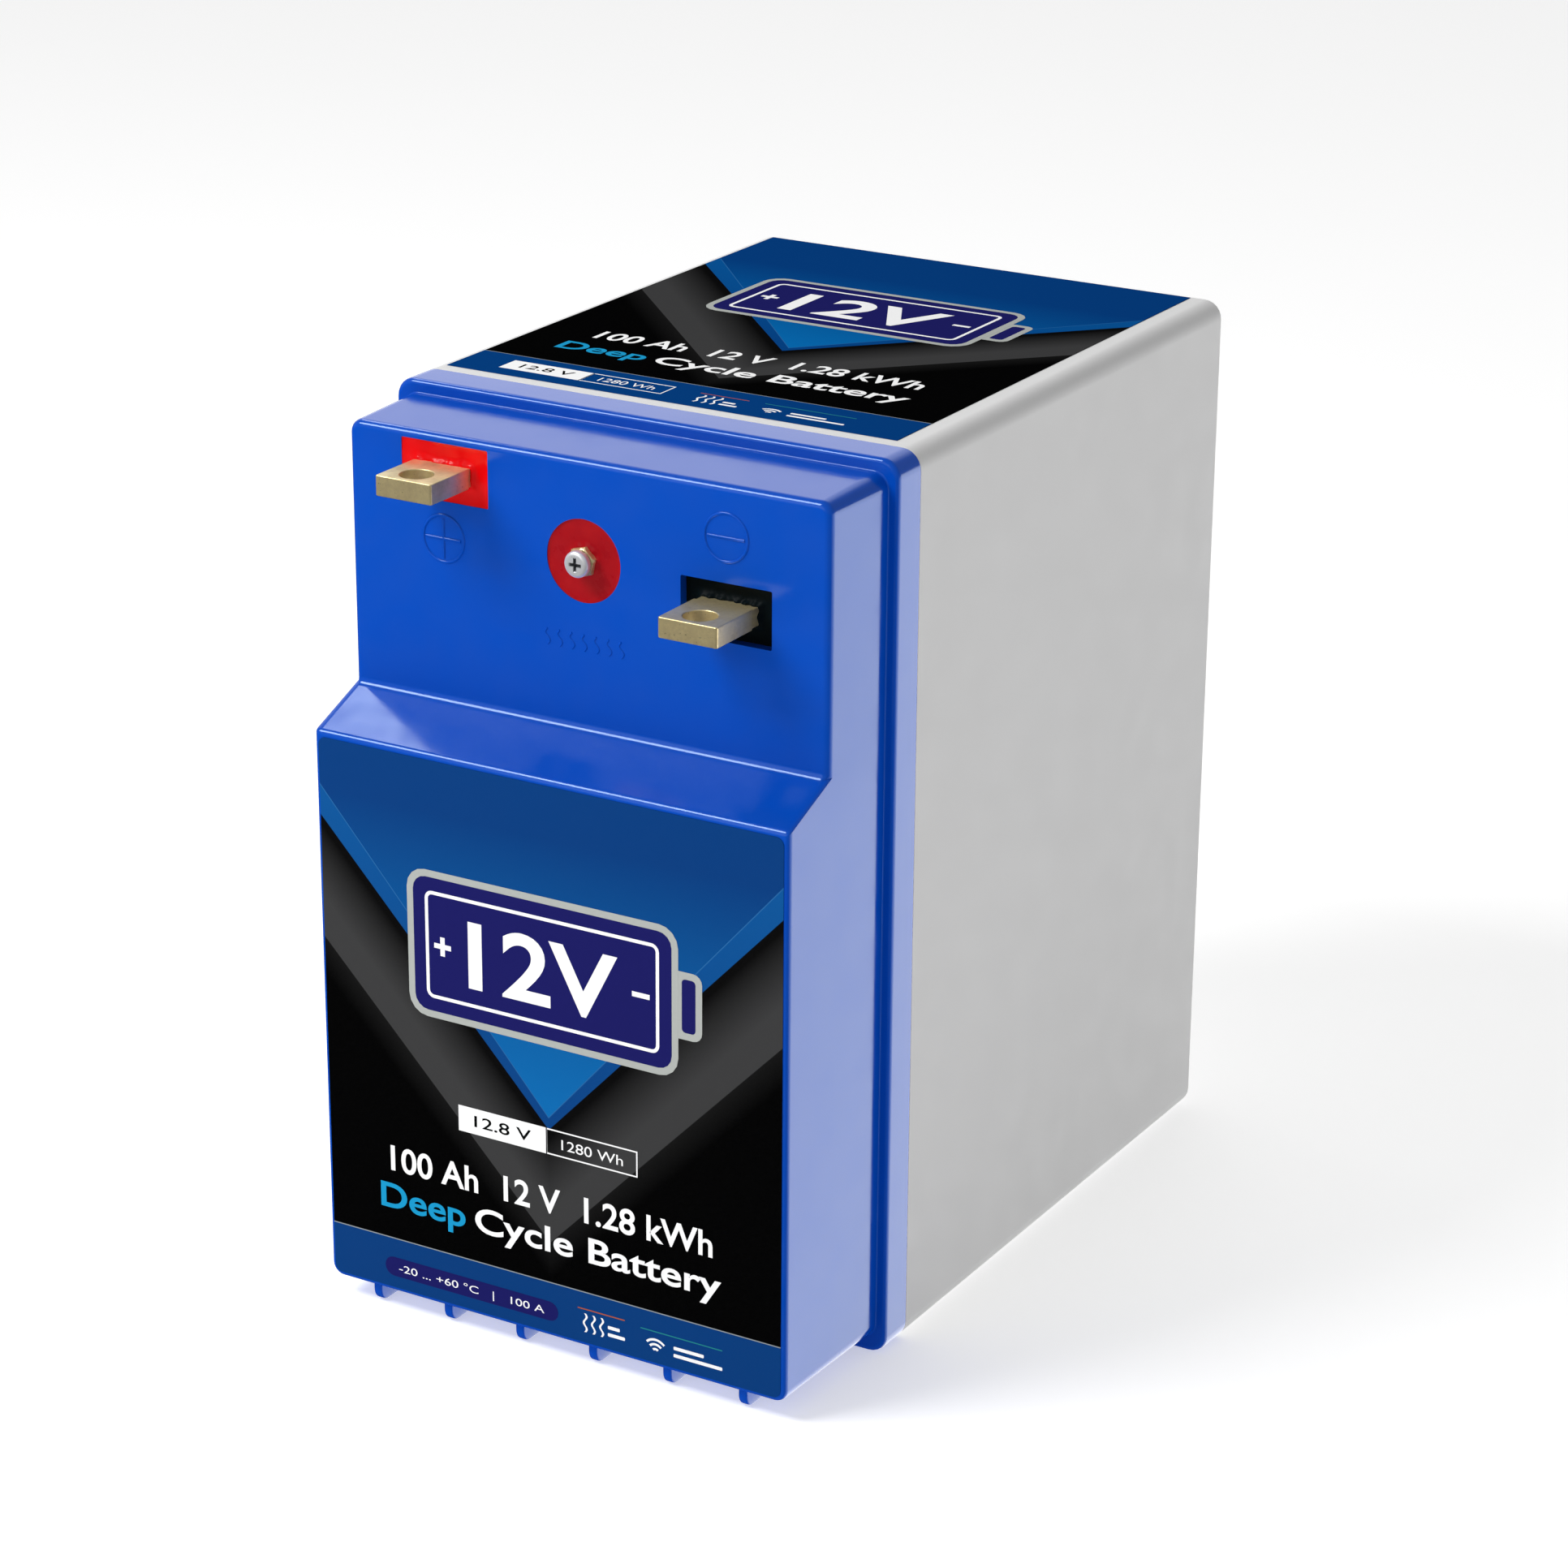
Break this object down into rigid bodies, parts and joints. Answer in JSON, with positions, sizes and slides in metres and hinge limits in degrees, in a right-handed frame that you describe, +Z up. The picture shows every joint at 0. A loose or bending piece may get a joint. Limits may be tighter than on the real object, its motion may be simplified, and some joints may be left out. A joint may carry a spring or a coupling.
{
  "type": "deep cycle battery",
  "caption": "Box-shaped deep cycle battery with a stepped lid, two flat bolt-through terminal tabs, a heat-enable screw, and cells and management board inside.",
  "frame": {"origin": "on the ground plane under the middle of the whole battery, from the front of the lid to the closed end of the case", "axes": "+X right across the lid's front, -Y out of the lid towards the viewer, +Z up; the battery lies on one long side of its case, with its terminals facing -Y. Turned 90 degrees about X, so that -Y becomes up, it stands as it does in service."},
  "size_m": [0.171, 0.265, 0.2802],
  "materials": {
    "case_plastic": "light grey moulded plastic with a fine satin grain",
    "lid_plastic": "glossy bright blue moulded plastic",
    "seal_rubber": "matt",
    "label_film": "printed film with a satin laminate, blue, black and dark grey",
    "terminal_brass": "machined brass, slightly dulled",
    "red_potting": "poured red resin, glossy",
    "black_potting": "poured black resin, semi-gloss",
    "zinc_steel": "bright zinc plating",
    "cell_sleeve": "blue shrink film over an aluminium can",
    "pad_board": "matt",
    "busbar_copper": "plain copper, satin",
    "frame_plastic": "matt",
    "foam": "soft closed-cell foam",
    "heater_film": "polyimide film",
    "circuit_board": "solder-masked circuit board",
    "heat_sink_aluminium": "extruded aluminium",
    "red_cable": "matt insulation",
    "black_cable": "matt insulation",
    "white_wire": "matt insulation"
  },
  "bodies": {
    "battery": {"case": "case_plastic", "lid": "lid_plastic", "lid_seal": "seal_rubber", "front_label": "label_film", "top_label": "label_film", "positive_terminal": "terminal_brass", "positive_potting": "red_potting", "negative_terminal": "terminal_brass", "negative_potting": "black_potting", "heat_enable_disc": "red_potting", "heat_enable_contact": "terminal_brass", "cell_1": "cell_sleeve", "cell_2": "cell_sleeve", "cell_3": "cell_sleeve", "cell_4": "cell_sleeve", "cell_pad_1": "pad_board", "cell_pad_2": "pad_board", "cell_pad_3": "pad_board", "busbar_1": "busbar_copper", "busbar_2": "busbar_copper", "busbar_3": "busbar_copper", "cell_nut_1": "zinc_steel", "cell_nut_2": "zinc_steel", "cell_nut_3": "zinc_steel", "cell_nut_4": "zinc_steel", "cell_nut_5": "zinc_steel", "cell_nut_6": "zinc_steel", "cell_nut_7": "zinc_steel", "cell_nut_8": "zinc_steel", "end_plate_lower": "frame_plastic", "end_plate_upper": "frame_plastic", "tie_band_front": "zinc_steel", "tie_band_back": "zinc_steel", "foam_lower": "foam", "foam_upper": "foam", "heater_pad": "heater_film", "bms_tray": "frame_plastic", "bms_board": "circuit_board", "bms_screw_1": "zinc_steel", "bms_screw_2": "zinc_steel", "bms_screw_3": "zinc_steel", "bms_screw_4": "zinc_steel", "bms_nut_pack": "zinc_steel", "bms_nut_output": "zinc_steel", "bms_heatsink": "heat_sink_aluminium", "radio_module": "circuit_board", "balance_connector": "pad_board", "positive_cable": "red_cable", "negative_cable": "black_cable", "pack_negative_cable": "black_cable", "balance_leads": "white_wire", "heat_enable_wire": "white_wire", "heater_leads": "white_wire", "positive_lug_bolt": "zinc_steel", "negative_lug_bolt": "zinc_steel"},
    "screw_washer": {"heat_enable_washer": "zinc_steel"},
    "screw": {"heat_enable_screw": "zinc_steel"}
  },
  "joints": [
    {"name": "screw_travel", "type": "slide", "parent": "battery", "child": "screw_washer", "axis": [0, -1, 0], "range_m": [0, 0.0035]},
    {"name": "screw_turn", "type": "hinge", "parent": "screw_washer", "child": "screw", "pos_m": [0, -0.1135, 0.2448], "axis": [0, -1, 0], "range_deg": [0, 1802]}
  ],
  "couplings": [
    {"joint": "screw_turn", "follows": "screw_travel", "rad_per_m": 8976}
  ]
}
